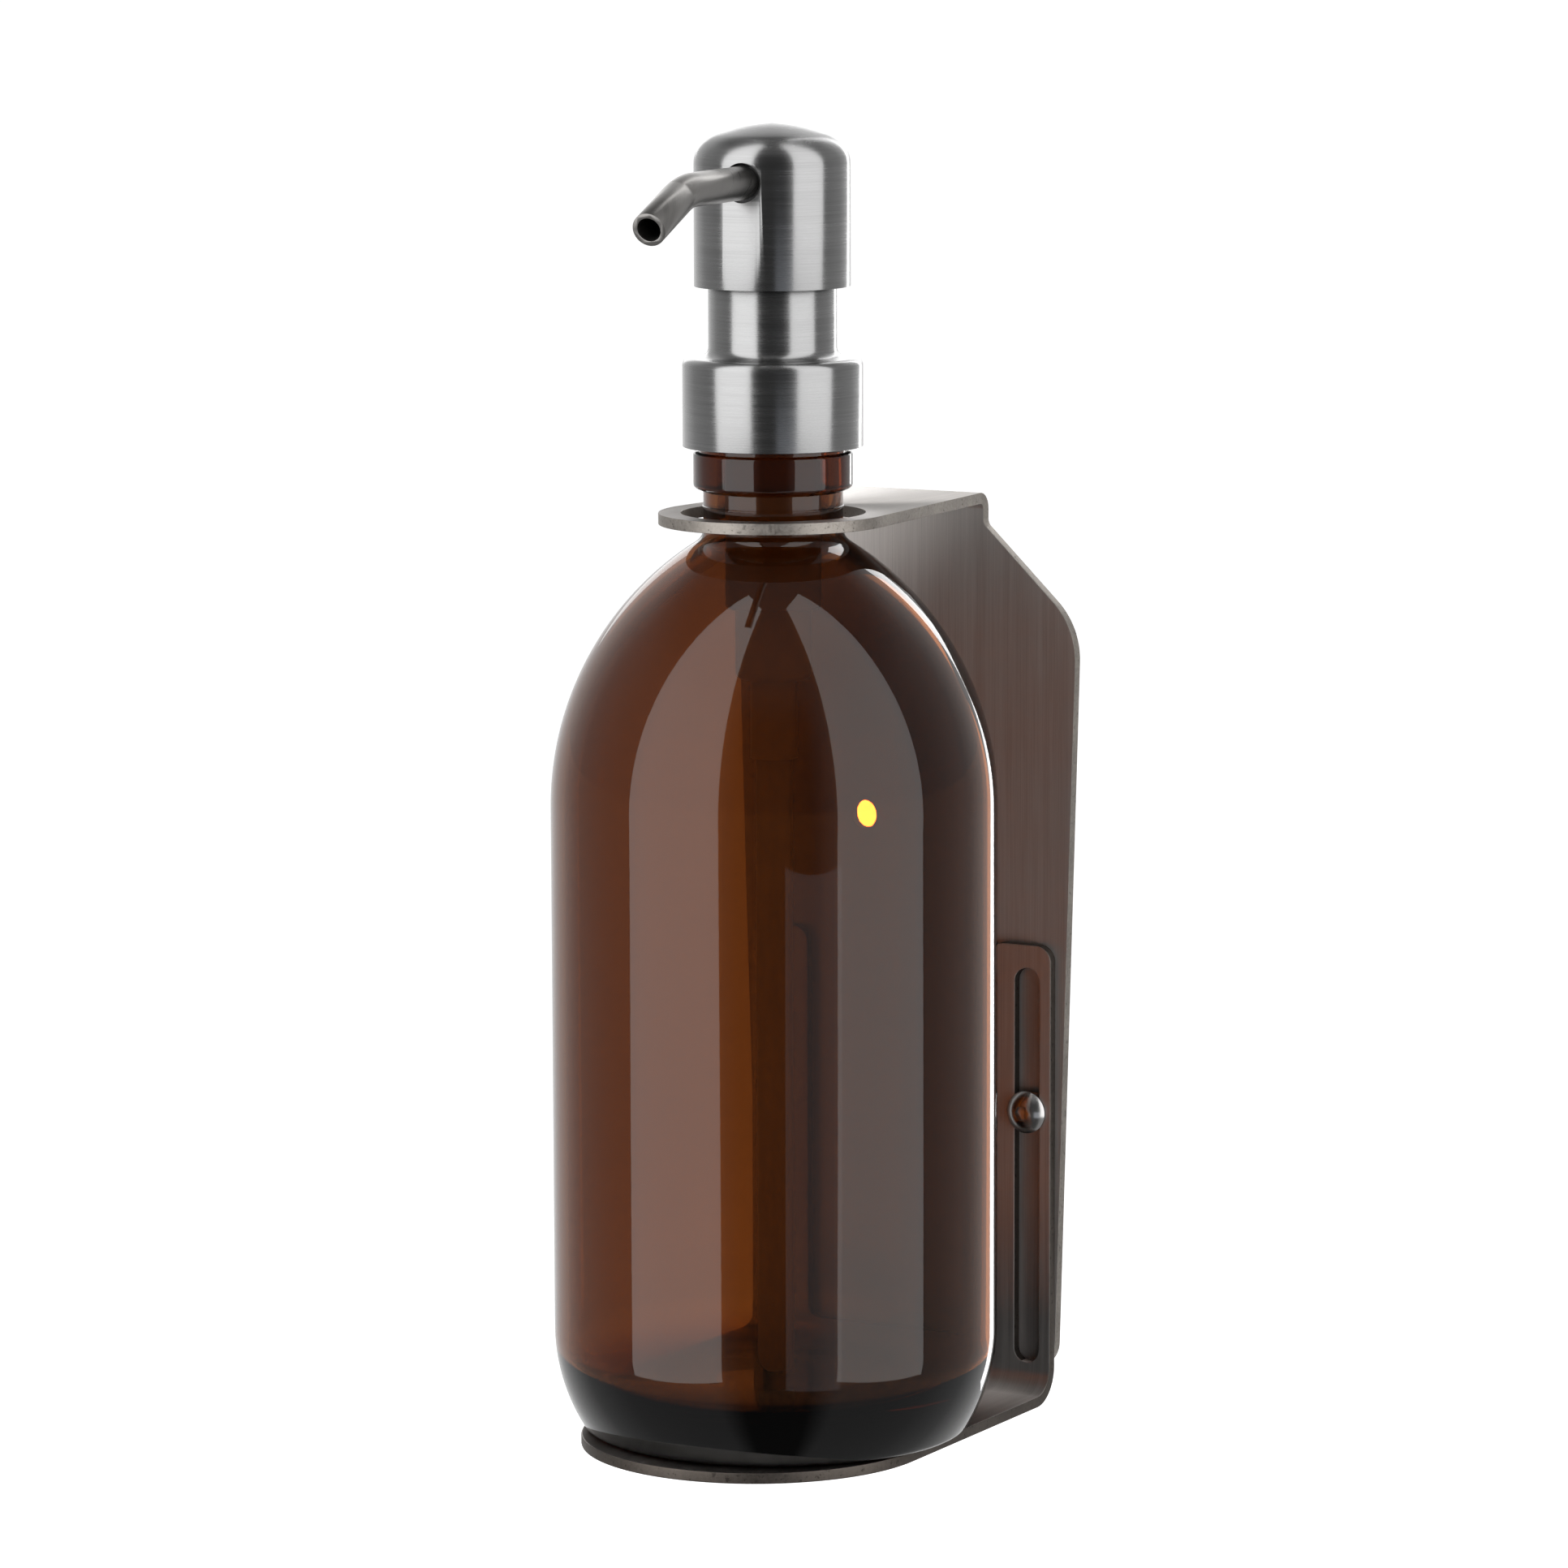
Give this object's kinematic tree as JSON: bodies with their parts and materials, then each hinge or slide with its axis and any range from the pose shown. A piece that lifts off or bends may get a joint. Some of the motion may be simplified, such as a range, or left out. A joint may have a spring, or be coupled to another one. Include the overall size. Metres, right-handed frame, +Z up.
{
  "type": "wall-mounted soap pump dispenser",
  "caption": "Wall-held soap dispenser: amber glass bottle on a slotted steel shelf bracket, its neck held in a bent tab, with a brushed steel lotion pump and a swivelling spout.",
  "frame": {"origin": "on the wall plate's rear face, on its upright centreline, level with the wall screw's hole", "axes": "+Z up along the bottle, +Y into the wall, +X to the right for a person who faces the wall"},
  "size_m": [0.0778, 0.1013, 0.2302],
  "materials": {
    "bracket_steel": "dark brushed, grain upright on the plate and legs",
    "screw_steel": "polished stainless",
    "amber_glass": "deep amber soda-lime glass, gloss",
    "seal_rubber": "soft seal rubber",
    "dark_plastic": "moulded polypropylene",
    "pump_steel": "bright, brushed round the axis",
    "spout_steel": "satin tube",
    "pump_plastic": "natural polypropylene",
    "piston_plastic": "natural polyethylene",
    "ball_steel": "polished stainless balls",
    "spring_steel": "drawn stainless wire"
  },
  "bodies": {
    "wall_bracket": {"upper_bracket": "bracket_steel", "clamp_nuts": "screw_steel", "clamp_screws": "screw_steel"},
    "shelf": {"lower_bracket": "bracket_steel"},
    "bottle_body": {"bottle": "amber_glass"},
    "pump": {"pump_housing": "pump_plastic", "neck_gasket": "seal_rubber", "dip_tube": "pump_plastic", "ball_cage": "pump_plastic", "guide_ring": "pump_plastic", "stem_wiper": "seal_rubber", "return_spring": "spring_steel"},
    "cap": {"screw_cap": "dark_plastic", "collar_shell": "pump_steel"},
    "piston": {"piston_seal": "piston_plastic"},
    "head": {"plunger": "pump_plastic", "stem": "pump_plastic", "head_core": "pump_plastic", "head_shell": "pump_steel", "spout_tube": "spout_steel"},
    "inlet_check": {"inlet_ball": "ball_steel"},
    "outlet_check": {"outlet_ball": "ball_steel"}
  },
  "joints": [
    {"name": "shelf_slide", "type": "slide", "parent": "wall_bracket", "child": "shelf", "axis": [0, 0, -1], "range_m": [0, 0.0236]},
    {"name": "bottle_turn", "type": "hinge", "parent": "shelf", "child": "bottle_body", "pos_m": [0, -0.0486, -0.102], "axis": [0, 0, 1], "continuous": true},
    {"name": "pump_lift", "type": "slide", "parent": "bottle_body", "child": "pump", "axis": [0, 0, 1], "range_m": [0, 0.0048]},
    {"name": "cap_turn", "type": "hinge", "parent": "pump", "child": "cap", "pos_m": [0, -0.0486, 0.078], "axis": [0, 0, 1], "range_deg": [0, 540]},
    {"name": "pump_press", "type": "slide", "parent": "pump", "child": "piston", "axis": [0, 0, -1], "range_m": [0, 0.0116], "stiffness_N_per_m": 600, "springref_m": -0.009, "deforming": ["return_spring"]},
    {"name": "spout_swivel", "type": "hinge", "parent": "piston", "child": "head", "pos_m": [0, -0.0486, 0.098], "axis": [0, 0, 1], "continuous": true},
    {"name": "inlet_ball_lift", "type": "slide", "parent": "pump", "child": "inlet_check", "axis": [0, 0, 1], "range_m": [0, 0.0012]},
    {"name": "outlet_ball_lift", "type": "slide", "parent": "head", "child": "outlet_check", "axis": [0, 0, 1], "range_m": [0, 0.0012]}
  ],
  "couplings": [
    {"joint": "cap_turn", "follows": "pump_lift", "rad_per_m": 1963.4}
  ]
}
